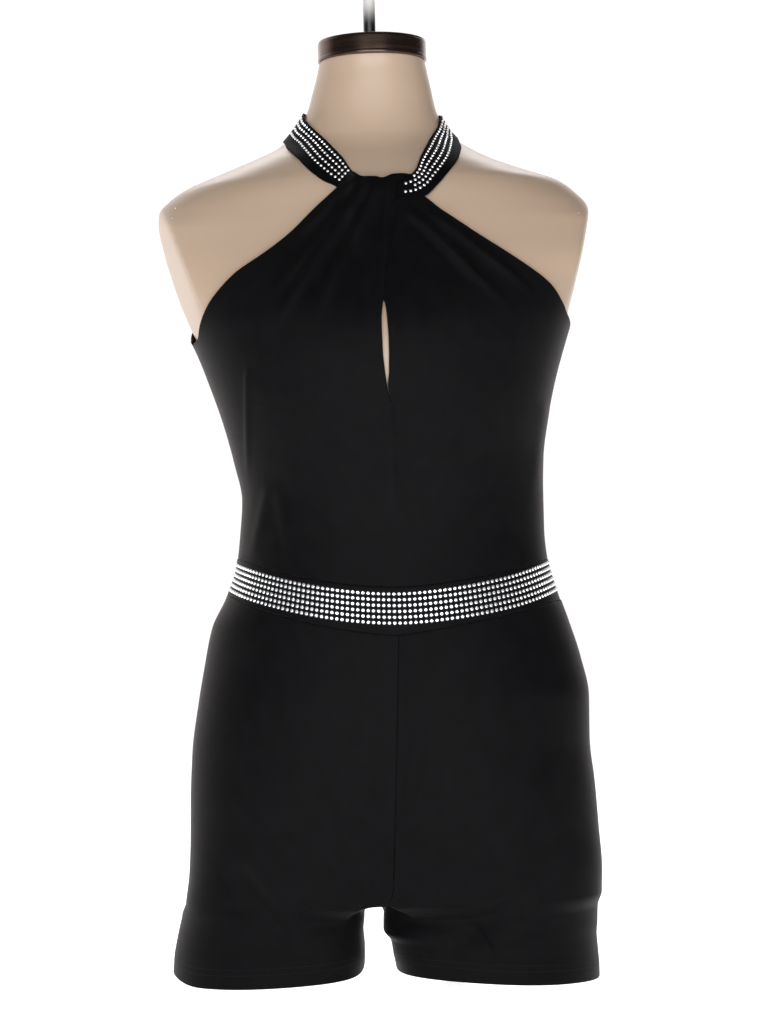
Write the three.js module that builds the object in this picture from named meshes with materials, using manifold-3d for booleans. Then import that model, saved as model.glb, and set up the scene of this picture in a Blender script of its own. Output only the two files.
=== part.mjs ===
// A black halter romper with a keyhole front, worn by a limbless dress form on a flat stand.
// Millimetres, +Z up. The wearer faces -Y, and the origin is the middle of the base's underside.

import * as THREE from 'three';
import { mergeVertices } from 'three/addons/utils/BufferGeometryUtils.js';
import Module from 'manifold-3d';

// ---- driving dimensions ----

const CLOTH = 1.6;             // wall of every cloth panel
const SEAM = 0.3;              // gap between two pieces at a seam
const CLOTH_OFFSET = 4.5;      // outer face of the cloth above the form

const FORM_BOTTOM = 190;
const NECK_TOP = 1060;
const PLATE_THICK = 3;
const PLATE_HEIGHT = 850;      // height at which the arm plates' reach is taken
const PLATE_CUT = 230;         // size of the cut that each plate closes
const PLATE_SIZE = 228;        // size of the plate that closes it

const CAP_RADIUS = 57;
const CAP_WALL = 21.3;
const CAP_DOME = 4.2;
const ROD_RADIUS = 6.3;
const ROD_LENGTH = 61.5;
const ROD_X = -2;

const BASE_RADIUS = 165;
const BASE_THICK = 10;
const POLE_RADIUS = 9.5;
const POLE_FOOT = 24;
const POLE_X = 62;
const POLE_Y = 20;

const CROTCH = 187;            // height of the fold under the form's front edge
const CROTCH_STRIP = 184.5;    // underside of the strip between the legs
const CROTCH_DROP = 18;        // height over which the front turns into two legs
const STRIP_X = 20;            // the crotch seam ends this far left of the middle
const INSEAM_Y = 10;
const SLIT_BOTTOM = 693;
const SLIT_TOP = 795;
const LAP_LIFT = 2.4;          // the lapped panel rides this much above the one under it
const BAND_LIFT = 0.6;         // the waistband is thicker than the panels by this much
const DEEPEST_TROUGH = 1.2;    // troughs of the bodice are no deeper, so its wall clears the form
const CORNER_SPREAD = 45;      // a front's inner columns fan out to this width above the crotch
const SPREAD_HEIGHT = 200;     // height over which they do

const WAIST_POINT = 5.3;       // angle of the point in the middle of the waistband's lower edge

const RAD = Math.PI / 180;

// ---- tables: one row for each section, edge point or fold ----

// Where each arm plate lies at PLATE_HEIGHT, how much it leans in towards the foot for each
// millimetre of height, and how far it is turned round Z, in degrees.
const PLATES = records(['name', 'side', 'reach', 'slope', 'turn'], [
  ['left', -1, 216, 0.285, 11],
  ['right', 1, 213.5, 0.235, 0],
]);

// Half widths, depths and squareness of the form's level sections.
const FORM = table(['z', 'left', 'right', 'front', 'back', 'power'], [
  [190, 170, 168, 100, 118, 2.8],
  [215, 186, 185, 107, 130, 2.7],
  [250, 196, 195, 115, 143, 2.5],
  [300, 201, 201, 121, 152, 2.4],
  [345, 200, 202, 124, 153, 2.3],
  [390, 194, 203, 124, 143, 2.3],
  [430, 187, 197, 122, 130, 2.2],
  [470, 178, 184, 118, 116, 2.2],
  [500, 163, 174, 115, 110, 2.2],
  [530, 152, 166, 113, 106, 2.2],
  [565, 147, 163, 112, 103, 2.2],
  [603, 144, 163, 115, 104, 2.2],
  [640, 151, 164, 124, 107, 2.2],
  [680, 161, 170, 138, 111, 2.2],
  [720, 174, 179, 147, 114, 2.2],
  [762, 190, 191.5, 146, 116, 2.3],
  [790, 206, 201, 139, 117, 2.4],
  [820, 224, 214, 126, 116, 2.4],
  [855, 236, 228, 111, 113, 2.4],
  [883, 238, 229, 100, 110, 2.4],
  [903, 230, 221, 93, 106, 2.4],
  [917, 216.5, 208, 88.5, 103, 2.4],
  [928, 200, 193, 84, 101, 2.4],
  [941, 169.5, 156.5, 77, 98, 2.3],
  [953, 140, 125, 69, 95, 2.2],
  [962, 118.5, 107, 63, 92.5, 2.1],
  [971, 101, 92, 58.5, 90, 2],
  [979, 91, 82, 55.5, 87, 2],
  [992, 80.5, 72.5, 53, 82, 2],
  [1008, 70, 65.5, 51.5, 76, 2],
  [1030, 63.3, 61, 51, 67, 2],
  [1045, 59, 58, 51, 60, 2],
  [1060, 55.5, 55, 52, 53, 2],
]);

// Outer face of the shorts above the crotch, which hang clear of the form below the hips.
const SHORTS = table(['z', 'left', 'right', 'front', 'back', 'power'], [
  [187, 217, 217, 108, 132, 2.8],
  [215, 213, 218, 113, 138, 2.7],
  [250, 211, 216, 120, 149, 2.5],
  [300, 209.5, 213, 126, 157, 2.4],
  [345, 206.5, 209, 129, 158, 2.3],
  [390, 199.5, 209.5, 129, 148, 2.3],
  [430, 192, 202, 127, 135, 2.2],
  [470, 183, 190, 123, 121, 2.2],
  [500, 168, 180, 120, 115, 2.2],
  [530, 157, 172, 118, 111, 2.2],
]);

// Leg tubes below the crotch: reach of the outer and inner side as X, and the two depths.
const LEFT_LEG = table(['z', 'outer', 'inner', 'front', 'back'], [
  [90, -235, -32, 100, 121],
  [110, -233, -32, 98, 121],
  [130, -231, -32, 97, 122],
  [150, -227, -33, 96, 122],
  [170, -222, -33, 97, 122],
  [187, -217, -33, 100, 122],
]);
const RIGHT_LEG = table(['z', 'outer', 'inner', 'front', 'back'], [
  [88, 213, 2, 99, 121],
  [106, 213, 1, 98, 121],
  [125, 212, -2, 97, 122],
  [142, 211, -5, 97, 122],
  [152, 212, -12, 97, 122],
  [170, 213, -11, 98, 122],
  [187, 217, 0, 101, 122],
]);
const LEG = {
  left: { rows: LEFT_LEG, centre: -122, outerPower: 2.0, innerPower: 3.6, side: -1 },
  right: { rows: RIGHT_LEG, centre: 106, outerPower: 2.0, innerPower: 3.0, side: 1 },
};

// Hem height round each leg: 0 at the front, 90 at the inner side, 180 at the back.
const LEFT_HEM = table(['angle', 'z'], [
  [-180, 112],
  [-90, 112],
  [-50, 104],
  [0, 106],
  [45, 111],
  [90, 119],
  [180, 112],
  [270, 112],
]);
const RIGHT_HEM = table(['angle', 'z'], [
  [-180, 102],
  [-90, 96],
  [-45, 99],
  [0, 104],
  [55, 111],
  [90, 112],
  [180, 102],
  [270, 96],
]);

// Upper edge of the front: armhole, gathered neckline, and armhole again.
const LEFT_LOBE_TOP = table(['angle', 'z'], [
  [-100, 763],
  [-90, 764],
  [-74, 767],
  [-66.5, 781.6],
  [-58.6, 809],
  [-53, 832],
  [-47.3, 847.8],
  [-40.4, 868.5],
  [-32, 896.7],
  [-23.2, 916.3],
  [-19.3, 924.8],
  [-15.3, 933.6],
  [-8, 927.7],
  [0.5, 927.2],
  [3.7, 925.4],
  [11.8, 929.6],
  [16.2, 930],
  [22, 928.5],
  [27, 925],
]);
const RIGHT_LOBE_TOP = table(['angle', 'z'], [
  [-14, 893],
  [0, 896],
  [10, 902],
  [16, 908],
  [22, 912],
  [27.6, 904.5],
  [32.8, 892.4],
  [38.4, 880],
  [47.4, 856],
  [55.5, 833],
  [63, 813],
  [68.8, 796],
  [74.3, 784.5],
  [83.4, 776.5],
  [90, 772],
  [100, 770],
]);
const BACK_TOP = table(['angle', 'z'], [
  [80, 768],
  [90, 770],
  [102, 784],
  [114, 815],
  [127, 862],
  [139, 910],
  [149, 948],
  [157, 968],
  [167, 978],
  [180, 980],
]);

// Free edges of the two lobes above the slit's foot, as angles round the form.
const LEFT_LOBE_EDGE = table(['z', 'angle'], [
  [693, 3.7],
  [711, 2.4],
  [727, 1.7],
  [744, 1.2],
  [774, 1],
  [797, 2],
  [832, 4.3],
  [858, 7.1],
  [880, 10.7],
  [897, 12.7],
  [911, 16.5],
  [922, 20.5],
  [932, 25],
]);
const RIGHT_LOBE_EDGE = table(['z', 'angle'], [
  [693, 3.7],
  [710, 2.8],
  [725, 3.3],
  [750, 3.5],
  [777, 3.2],
  [793, 2.6],
  [797, 2],
  [832, -2],
  [860, -5],
  [900, -11],
]);

// The neck band from its left front end, round the nape, to its right front end. Its lower edge is
// raised by the lift, and its upper edge is closer to the neck than that by the hug.
const NECK_BAND = table(['at', 'topAngle', 'topZ', 'lowAngle', 'lowZ', 'lift', 'hug'], [
  [0, -15.5, 934.2, -23.4, 917, 0, 0],
  [6, -21.7, 945.6, -29.3, 922.3, 0, 1],
  [12, -33.8, 961.7, -37.8, 933.8, 0, 1.5],
  [18, -49.8, 978, -51, 952, 0, 1.5],
  [25, -71, 997, -66, 966, 0, 1.5],
  [33, -90, 1008.5, -88, 978, 0, 0.3],
  [50, -180, 1013, -180, 980.5, 0, 1.5],
  [67, -278, 1000, -272, 977.5, 0, 0.3],
  [75, -295, 985.5, -297, 959.5, 0, 1.5],
  [82, -309.4, 972, -316, 934.5, 0.4, 1.5],
  [89, -327, 950, -325, 918, 2, 1],
  [95, -336.5, 931, -332.5, 905.5, 4.8, 0],
  [98, -342.6, 923, -337, 902, 5.4, 0],
  [100, -346.6, 918, -349, 901, 5.4, 0],
]);

// Ridges and troughs of the cloth in front, from one point to the other, as seen from the front.
const FOLDS = records(['x1', 'z1', 'x2', 'z2', 'width', 'height'], [
  [-8, 922, -98, 784, 6, 2.6],
  [3, 922, -60, 786, 8, 2.8],
  [-2, 916, -68, 806, 5, -1.2],
  [-22, 926, -82, 864, 6, 1.6],
  [16, 924, 2, 812, 6, 2.0],
  [36, 886, 121, 797, 6, 2.8],
  [36, 878, 96, 808, 5, -1.2],
  [60, 884, 128, 816, 6, 1.6],
  [-160, 224, -108, 140, 14, -4],
  [-96, 172, -30, 166, 11, -7],
  [0, 168, 110, 172, 11, -7],
  [128, 188, 48, 140, 14, -5],
  [84, 166, 98, 120, 8, 3.5],
]);

// ---- helpers ----

function records(columns, rows) {
  return rows.map((row) => Object.fromEntries(columns.map((name, k) => [name, row[k]])));
}

// A table whose columns can be read at any value of the first one, along smooth monotone curves.
function table(columns, rows) {
  const [key, ...others] = columns;
  const list = records(columns, rows);
  const last = list.length - 1;
  const rise = (k, name) => (list[k + 1][name] - list[k][name]) / (list[k + 1][key] - list[k][key]);
  const slope = (k, name) => {
    if (k === 0) return rise(0, name);
    if (k === last) return rise(last - 1, name);
    const before = rise(k - 1, name);
    const after = rise(k, name);
    return before * after > 0 ? (2 * before * after) / (before + after) : 0;
  };
  return (at) => {
    const x = Math.min(Math.max(at, list[0][key]), list[last][key]);
    let k = 0;
    while (k < last - 1 && list[k + 1][key] < x) k += 1;
    const span = list[k + 1][key] - list[k][key];
    const t = (x - list[k][key]) / span;
    const a = 2 * t ** 3 - 3 * t ** 2 + 1;
    const b = t ** 3 - 2 * t ** 2 + t;
    const c = t ** 3 - t ** 2;
    const value = (name) => a * list[k][name] + (1 - a) * list[k + 1][name]
      + span * (b * slope(k, name) + c * slope(k + 1, name));
    return Object.fromEntries(others.map((name) => [name, value(name)]));
  };
}

const mix = (a, b, t) => a + (b - a) * t;

function ease(t) {
  const s = Math.min(Math.max(t, 0), 1);
  return s * s * (3 - 2 * s);
}

// Distance from the middle to a superellipse, in the direction whose sine and cosine are given.
function reach(sine, cosine, halfWidth, depth, power) {
  return 1 / ((Math.abs(sine) / halfWidth) ** power + (Math.abs(cosine) / depth) ** power) ** (1 / power);
}

// A point on a level section, at an angle from the front (-Y), positive towards +X.
function sectionPoint(section, angle, z, lift) {
  const sine = Math.sin(angle * RAD);
  const cosine = Math.cos(angle * RAD);
  const halfWidth = (sine < 0 ? section.left : section.right) + lift;
  const depth = (cosine > 0 ? section.front : section.back) + lift;
  const r = reach(sine, cosine, halfWidth, depth, section.power);
  return new THREE.Vector3(r * sine, -r * cosine, z);
}

// Height of all folds at a front point.
function foldHeight(point) {
  if (point.y > 0) return 0;
  let height = 0;
  for (const fold of FOLDS) {
    const dx = fold.x2 - fold.x1;
    const dz = fold.z2 - fold.z1;
    const along = ((point.x - fold.x1) * dx + (point.z - fold.z1) * dz) / (dx * dx + dz * dz);
    const across = ((point.x - fold.x1) * dz - (point.z - fold.z1) * dx) / Math.hypot(dx, dz);
    const taper = ease((along + 0.12) / 0.2) * ease((1.15 - along) / 0.6);
    height += fold.height * taper * Math.exp(-((across / fold.width) ** 2));
  }
  return height;
}

// The cloth's outer face over the form.
function clothPoint(angle, z, lift = 0) {
  const section = FORM(z);
  const plain = sectionPoint(section, angle, z, CLOTH_OFFSET + lift);
  const fold = Math.max(foldHeight(plain), -DEEPEST_TROUGH);
  return sectionPoint(section, angle, z, CLOTH_OFFSET + lift + fold);
}

// Points and normals of a grid; one more column on either side steadies the normals at seams.
function gridSheet([columns, rows], pointAt) {
  const grid = [];
  for (let j = 0; j <= rows; j += 1) {
    const line = [];
    for (let i = -1; i <= columns + 1; i += 1) line.push(pointAt(i / columns, j / rows));
    grid.push(line);
  }
  const sheet = { points: [], normals: [], quads: [] };
  for (let j = 0; j <= rows; j += 1) {
    for (let i = 1; i <= columns + 1; i += 1) {
      const across = grid[j][i + 1].clone().sub(grid[j][i - 1]);
      const up = grid[Math.min(j + 1, rows)][i].clone().sub(grid[Math.max(j - 1, 0)][i]);
      sheet.points.push(grid[j][i]);
      sheet.normals.push(across.cross(up).normalize());
    }
  }
  const id = (i, j) => j * (columns + 1) + i;
  for (let j = 0; j < rows; j += 1) {
    for (let i = 0; i < columns; i += 1) {
      sheet.quads.push([id(i, j), id(i + 1, j), id(i + 1, j + 1), id(i, j + 1)]);
    }
  }
  return sheet;
}

// Several sheets as one, with the vertices that they share made common.
function joinSheets(...sheets) {
  const joined = { points: [], normals: [], quads: [] };
  const known = new Map();
  for (const sheet of sheets) {
    const ids = sheet.points.map((point, k) => {
      const key = point.toArray().map((value) => value.toFixed(3)).join();
      if (!known.has(key)) {
        known.set(key, joined.points.length);
        joined.points.push(point);
        joined.normals.push(new THREE.Vector3());
      }
      joined.normals[known.get(key)].add(sheet.normals[k]);
      return known.get(key);
    });
    for (const quad of sheet.quads) joined.quads.push(quad.map((k) => ids[k]));
  }
  for (const normal of joined.normals) normal.normalize();
  return joined;
}

// A closed wall between a sheet and its copy moved inwards by the thickness.
function wall(sheet, thickness) {
  const count = sheet.points.length;
  const inner = sheet.points.map((point, k) => point.clone().addScaledVector(sheet.normals[k], -thickness));
  const index = [];
  const quad = (a, b, c, d) => index.push(a, b, c, a, c, d);
  const edges = new Map();
  for (const ring of sheet.quads) {
    const [a, b, c, d] = ring;
    quad(a, b, c, d);
    quad(d + count, c + count, b + count, a + count);
    ring.forEach((from, k) => {
      const to = ring[(k + 1) % ring.length];
      if (edges.has(`${to},${from}`)) edges.delete(`${to},${from}`);
      else edges.set(`${from},${to}`, [from, to]);
    });
  }
  for (const [from, to] of edges.values()) quad(to, from, from + count, to + count);
  const geometry = new THREE.BufferGeometry();
  const vertices = [...sheet.points, ...inner].flatMap((point) => point.toArray());
  geometry.setAttribute('position', new THREE.Float32BufferAttribute(vertices, 3));
  geometry.setIndex(index);
  geometry.computeVertexNormals();
  return geometry;
}

// ---- materials ----

function material(color, roughness, metalness) {
  return new THREE.MeshStandardMaterial({ color, roughness, metalness });
}

const FORM_LOOK = () => material(0xd9c3ab, 0.55, 0);
const PLATE_LOOK = () => material(0xcdb59c, 0.5, 0);
const CLOTH_LOOK = () => material(0x0d0c0d, 0.75, 0);
const CAP_LOOK = () => material(0x3b2c26, 0.35, 0.8);
const ROD_LOOK = () => material(0x1c1a1a, 0.35, 0.8);
const STAND_LOOK = () => material(0xeeeeec, 0.45, 0.1);

const romper = new THREE.Group();
romper.name = 'romper_on_dress_form';

function add(name, geometry, look) {
  const mesh = new THREE.Mesh(geometry, look());
  mesh.name = name;
  romper.add(mesh);
  return mesh;
}

// ---- dress form ----

const FORM_ROWS = 32;
const FORM_COLUMNS = 36;

// Heights of the form's rows, closest together where the shoulders run into the neck.
const FORM_HEIGHT = table(['t', 'z'], [
  [0, FORM_BOTTOM],
  [0.47, 850],
  [0.58, 917],
  [0.86, 994],
  [1, NECK_TOP],
]);

function formGeometry() {
  const points = [];
  const index = [];
  for (let j = 0; j <= FORM_ROWS; j += 1) {
    const { z } = FORM_HEIGHT(j / FORM_ROWS);
    for (let i = 0; i < FORM_COLUMNS; i += 1) {
      points.push(...sectionPoint(FORM(z), (i / FORM_COLUMNS) * 360, z, 0).toArray());
    }
  }
  const id = (i, j) => j * FORM_COLUMNS + (i % FORM_COLUMNS);
  for (let j = 0; j < FORM_ROWS; j += 1) {
    for (let i = 0; i < FORM_COLUMNS; i += 1) {
      index.push(id(i, j), id(i + 1, j), id(i + 1, j + 1), id(i, j), id(i + 1, j + 1), id(i, j + 1));
    }
  }
  const bottom = points.length / 3;
  points.push(0, 0, FORM_BOTTOM, 0, 0, NECK_TOP);
  for (let i = 0; i < FORM_COLUMNS; i += 1) {
    index.push(bottom, id(i + 1, 0), id(i, 0), bottom + 1, id(i, FORM_ROWS), id(i + 1, FORM_ROWS));
  }
  const geometry = new THREE.BufferGeometry();
  geometry.setAttribute('position', new THREE.Float32BufferAttribute(points, 3));
  geometry.setIndex(index);
  return geometry;
}

const wasm = await Module();
wasm.setup();

function toSolid(geometry) {
  const bare = geometry.clone();
  bare.deleteAttribute('normal');
  bare.deleteAttribute('uv');
  const merged = mergeVertices(bare, 1e-4);
  const vertProperties = new Float32Array(merged.attributes.position.array);
  const triVerts = new Uint32Array(merged.index.array);
  return new wasm.Manifold(new wasm.Mesh({ numProp: 3, vertProperties, triVerts }));
}

function fromSolid(solid) {
  const { vertProperties, triVerts } = solid.getMesh();
  const geometry = new THREE.BufferGeometry();
  geometry.setAttribute('position', new THREE.Float32BufferAttribute(vertProperties, 3));
  geometry.setIndex(new THREE.Uint32BufferAttribute(triVerts, 1));
  geometry.computeVertexNormals();
  return geometry;
}

// A block whose inner face is the leaning plane of an arm plate, moved in by a distance.
function armBlock(plate, inwards, thickness, size) {
  const block = new THREE.BoxGeometry(thickness, size, size);
  block.translate(plate.side * (thickness / 2 - inwards), 0, 0);
  block.rotateY(plate.side * Math.atan(plate.slope));
  block.rotateZ(plate.turn * RAD);
  block.translate(plate.side * plate.reach, 0, PLATE_HEIGHT);
  return toSolid(block);
}

function buildForm() {
  const blank = toSolid(formGeometry());
  let torso = blank;
  for (const plate of PLATES) {
    torso = torso.subtract(armBlock(plate, PLATE_THICK + SEAM, PLATE_CUT / 2, PLATE_CUT));
    const solid = blank.intersect(armBlock(plate, PLATE_THICK, PLATE_THICK, PLATE_SIZE));
    add(`form_arm_plate_${plate.name}`, fromSolid(solid), PLATE_LOOK);
  }
  add('form_torso', fromSolid(torso), FORM_LOOK);
}

function lathe(profile, segments) {
  const geometry = new THREE.LatheGeometry(profile.map(([x, y]) => new THREE.Vector2(x, y)), segments);
  geometry.rotateX(Math.PI / 2);
  return geometry;
}

function buildCapAndRod() {
  const edge = 2;
  const cap = lathe([
    [0, 0],
    [CAP_RADIUS - edge, 0],
    [CAP_RADIUS, edge],
    [CAP_RADIUS, CAP_WALL - edge],
    [CAP_RADIUS - edge, CAP_WALL],
    [CAP_RADIUS * 0.6, CAP_WALL + CAP_DOME * 0.6],
    [0, CAP_WALL + CAP_DOME],
  ], 36);
  add('form_neck_cap', cap, CAP_LOOK).position.z = NECK_TOP + SEAM;
  const rod = lathe([
    [0, 0],
    [ROD_RADIUS, 0],
    [ROD_RADIUS, ROD_LENGTH - ROD_RADIUS / 2],
    [ROD_RADIUS / 2, ROD_LENGTH],
    [0, ROD_LENGTH],
  ], 16);
  add('form_top_rod', rod, ROD_LOOK).position.set(ROD_X, 0, NECK_TOP + CAP_WALL + CAP_DOME + 2 * SEAM);
}

function buildStand() {
  const bevel = 2;
  const base = lathe([
    [0, 0],
    [BASE_RADIUS, 0],
    [BASE_RADIUS, BASE_THICK - bevel],
    [BASE_RADIUS - bevel, BASE_THICK],
    [0, BASE_THICK],
  ], 48);
  add('stand_base', base, STAND_LOOK);
  const height = FORM_BOTTOM - BASE_THICK - 2 * SEAM;
  const flange = 5;
  const pole = lathe([
    [0, 0],
    [POLE_FOOT, 0],
    [POLE_FOOT, flange],
    [POLE_RADIUS, flange * 2],
    [POLE_RADIUS, height - flange],
    [POLE_FOOT - 4, height - flange],
    [POLE_FOOT - 4, height],
    [0, height],
  ], 28);
  add('stand_pole', pole, STAND_LOOK).position.set(POLE_X, POLE_Y, BASE_THICK + SEAM);
}

// ---- bodice ----

// Columns and rows of each piece's grid.
const GRID = {
  lobe: [18, 14],
  belly: [36, 8],
  back: [22, 16],
  neckBand: [44, 3],
  waistFront: [30, 2],
  waistBack: [22, 2],
};

// Edges of the waistband. The front's lowest point lies at X = middle. From there each edge rises
// to its side seam along a curve, whose power says how sharp the point is.
const WAIST_TOP_EDGE = {
  front: 509,
  middle: 15,
  back: 541,
  left: { rise: 32.5, power: 1.85 },
  right: { rise: 24, power: 1.68 },
};
const WAIST_LOW_EDGE = {
  front: 460.7,
  middle: 11.4,
  back: 497,
  left: { rise: 44, power: 1.55 },
  right: { rise: 29.3, power: 1.2 },
};

function waistEdge(edge, angle) {
  const section = FORM(edge.back);
  if (Math.abs(angle) > 90) {
    const side = edge.front + (angle < 0 ? edge.left : edge.right).rise;
    return mix(edge.back, side, Math.sin(angle * RAD) ** 2);
  }
  const { x } = sectionPoint(section, angle, 0, CLOTH_OFFSET);
  const half = x < edge.middle ? edge.left : edge.right;
  const end = x < edge.middle ? -section.left - CLOTH_OFFSET : section.right + CLOTH_OFFSET;
  return edge.front + half.rise * Math.abs((x - edge.middle) / (end - edge.middle)) ** half.power;
}

// Where the front's and the back's side edges are: short of 90 degrees by half a seam gap.
const SIDE_ANGLE = 89.93;

// The left lobe rides over the right one beyond the right one's hidden edge.
function lapLift(angle, z) {
  const above = ease((z - SLIT_TOP + 50) / 40);
  const beyond = ease((angle - RIGHT_LOBE_EDGE(z).angle + 9) / 7);
  return LAP_LIFT * above * beyond;
}

// Solves for the point of a column where it meets the upper edge.
function columnTop(column, edge, sideAngle, freeEdge) {
  let z = SLIT_BOTTOM;
  for (let k = 0; k < 40; k += 1) {
    z = mix(z, edge(mix(sideAngle, freeEdge(z).angle, column)).z, 0.5);
  }
  return z;
}

function lobe(edge, sideAngle, freeEdge, lift) {
  const flip = sideAngle > 0;
  return gridSheet(GRID.lobe, (u, v) => {
    const column = flip ? 1 - u : u;
    const z = mix(SLIT_BOTTOM, columnTop(column, edge, sideAngle, freeEdge), v);
    const angle = mix(sideAngle, freeEdge(z).angle, column);
    return clothPoint(angle, z, lift(angle, z));
  });
}

function buildFrontBodice() {
  const middle = LEFT_LOBE_EDGE(SLIT_BOTTOM).angle;
  const belly = gridSheet(GRID.belly, (u, v) => {
    const angle = u < 0.5 ? mix(-SIDE_ANGLE, middle, u * 2) : mix(middle, SIDE_ANGLE, u * 2 - 1);
    return clothPoint(angle, mix(waistEdge(WAIST_TOP_EDGE, angle) + SEAM, SLIT_BOTTOM, v));
  });
  const left = lobe(LEFT_LOBE_TOP, -SIDE_ANGLE, LEFT_LOBE_EDGE, lapLift);
  const right = lobe(RIGHT_LOBE_TOP, SIDE_ANGLE, RIGHT_LOBE_EDGE, () => 0);
  add('front_bodice', wall(joinSheets(belly, left, right), CLOTH), CLOTH_LOOK);
}

function buildBackBodice() {
  const sheet = gridSheet(GRID.back, (u, v) => {
    const turn = mix(180 - SIDE_ANGLE, 180 + SIDE_ANGLE, u);
    const angle = turn > 180 ? turn - 360 : turn;
    const low = waistEdge(WAIST_TOP_EDGE, angle) + SEAM;
    return clothPoint(angle, mix(low, BACK_TOP(Math.abs(angle)).z, v));
  });
  add('back_bodice', wall(sheet, CLOTH), CLOTH_LOOK);
}

function buildNeckBand() {
  const sheet = gridSheet(GRID.neckBand, (u, v) => {
    const row = NECK_BAND(100 * (1 - u));
    const angle = mix(row.lowAngle, row.topAngle, v);
    return clothPoint(angle, mix(row.lowZ, row.topZ, v) + SEAM, row.lift - row.hug * v);
  });
  add('neck_band', wall(sheet, CLOTH), CLOTH_LOOK);
}

function buildWaistband(name, from, middle, to, grid) {
  const sheet = gridSheet(grid, (u, v) => {
    const turn = u < 0.5 ? mix(from, middle, u * 2) : mix(middle, to, u * 2 - 1);
    const angle = turn > 180 ? turn - 360 : turn;
    const low = waistEdge(WAIST_LOW_EDGE, angle);
    return clothPoint(angle, mix(low, waistEdge(WAIST_TOP_EDGE, angle), v), BAND_LIFT);
  });
  add(name, wall(sheet, CLOTH + BAND_LIFT), CLOTH_LOOK);
}

// ---- shorts ----

// Grid of a panel: its columns, and its rows above the crotch, round its turn and down the leg.
const PANEL = { columns: 18, upper: 8, turn: 4, leg: 3 };
const SPLIT = 13 / PANEL.columns;   // share of a panel's columns outside the leg's inner corner

// Angle of the seam between the left and right panels.
const FRONT_SEAM = table(['z', 'angle'], [
  [180, -3],
  [187, -3],
  [200, -0.6],
  [275, 1.4],
  [336, 2.7],
  [396, 4],
  [460, 5.3],
]);

function legPoint(leg, angle, z) {
  const row = leg.rows(z);
  const sine = Math.sin(angle * RAD);
  const cosine = Math.cos(angle * RAD);
  const inner = sine * leg.side < 0;
  const halfWidth = Math.abs((inner ? row.inner : row.outer) - leg.centre);
  const depth = cosine > 0 ? row.front : row.back;
  const r = reach(sine, cosine, halfWidth, depth, inner ? leg.innerPower : leg.outerPower);
  return new THREE.Vector3(leg.centre + r * sine, -r * cosine, z);
}

// Angle round the leg, 0 at its front, at which a point lies.
function legAngle(leg, point) {
  return Math.atan2(point.x - leg.centre, -point.y) / RAD;
}

// Moves a point of the shorts out or in by the folds that cross it.
function creased(point) {
  const out = new THREE.Vector3(point.x, point.y, 0).normalize();
  return point.addScaledVector(out, foldHeight(point));
}

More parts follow.
